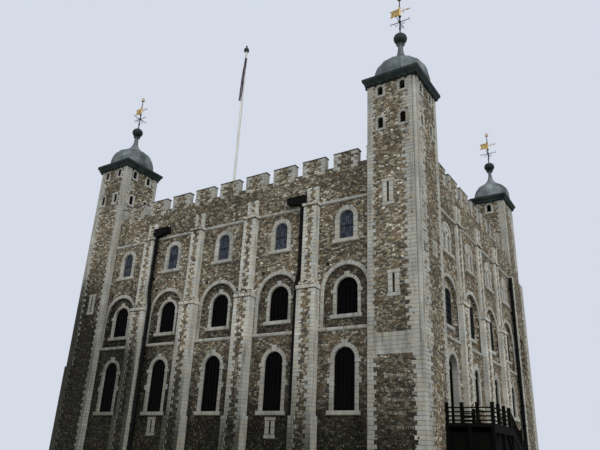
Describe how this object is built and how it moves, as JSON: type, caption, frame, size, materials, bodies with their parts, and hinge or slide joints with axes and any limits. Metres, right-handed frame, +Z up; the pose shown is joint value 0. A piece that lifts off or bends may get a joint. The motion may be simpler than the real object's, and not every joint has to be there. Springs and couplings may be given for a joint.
{
  "type": "castle keep, scale model 1:2",
  "caption": "Square stone castle keep with corner turrets under lead domes, arched windows, battlements, turning weather vanes, a timber entrance stair and a flagpole.",
  "frame": {"origin": "middle of the keep's walls in plan, on the ground that it stands on", "axes": "+Z up; the five-bay front faces -Y; the side with the entrance and its stair faces +X"},
  "size_m": [19.765, 15.285, 21.15],
  "materials": {
    "ashlar": "dressed",
    "black_iron": "painted black",
    "dark_paint": "dark painted",
    "flag_cloth": "limp cloth",
    "floor_boards": "worn",
    "gilding": "gilded, weathered",
    "leaded_glass": "dark leaded",
    "pole_paint": "white painted",
    "roof_lead": "weathered lead",
    "rubble_masonry": "rough",
    "stair_timber": "dark stained"
  },
  "bodies": {
    "keep": {"back_arches_and_strings": "ashlar", "back_parapet": "rubble_masonry", "back_pilasters": "ashlar", "back_turret": "rubble_masonry", "back_wall": "rubble_masonry", "back_window_surrounds": "ashlar", "basement_floor": "floor_boards", "entrance_floor": "floor_boards", "flag": "flag_cloth", "flagpole": "pole_paint", "front_arches_and_strings": "ashlar", "front_parapet": "rubble_masonry", "front_pilasters": "ashlar", "front_wall": "rubble_masonry", "front_window_surrounds": "ashlar", "gallery_floor": "floor_boards", "left_arches_and_strings": "ashlar", "left_parapet": "rubble_masonry", "left_pilasters": "ashlar", "left_turret": "rubble_masonry", "left_wall": "rubble_masonry", "left_window_surrounds": "ashlar", "near_turret": "rubble_masonry", "rainwater_pipes": "black_iron", "right_arches_and_strings": "ashlar", "right_parapet": "rubble_masonry", "right_pilasters": "ashlar", "right_turret": "rubble_masonry", "right_wall": "rubble_masonry", "right_window_surrounds": "ashlar", "roof_deck": "roof_lead", "stair_boarding": "stair_timber", "stair_landing": "stair_timber", "stair_railings": "stair_timber", "stair_stringers": "stair_timber", "stair_treads": "stair_timber", "turret_cornices": "dark_paint", "turret_domes": "roof_lead", "turret_finials": "gilding", "turret_slit_frames": "ashlar", "upper_floor": "floor_boards", "window_glass": "leaded_glass"},
    "near_weather_vane": {"near_weather_vane": "gilding"},
    "left_weather_vane": {"left_weather_vane": "gilding"},
    "right_weather_vane": {"right_weather_vane": "gilding"},
    "back_weather_vane": {"back_weather_vane": "gilding"}
  },
  "joints": [
    {"name": "near_vane_turn", "type": "hinge", "parent": "keep", "child": "near_weather_vane", "pos_m": [8, -6.4, 19.7725], "axis": [0, 0, 1], "continuous": true},
    {"name": "left_vane_turn", "type": "hinge", "parent": "keep", "child": "left_weather_vane", "pos_m": [-8, -6.4, 19.7725], "axis": [0, 0, 1], "continuous": true},
    {"name": "right_vane_turn", "type": "hinge", "parent": "keep", "child": "right_weather_vane", "pos_m": [8.075, 6.4, 19.5975], "axis": [0, 0, 1], "continuous": true},
    {"name": "back_vane_turn", "type": "hinge", "parent": "keep", "child": "back_weather_vane", "pos_m": [-8.075, 6.4, 19.5975], "axis": [0, 0, 1], "continuous": true}
  ]
}
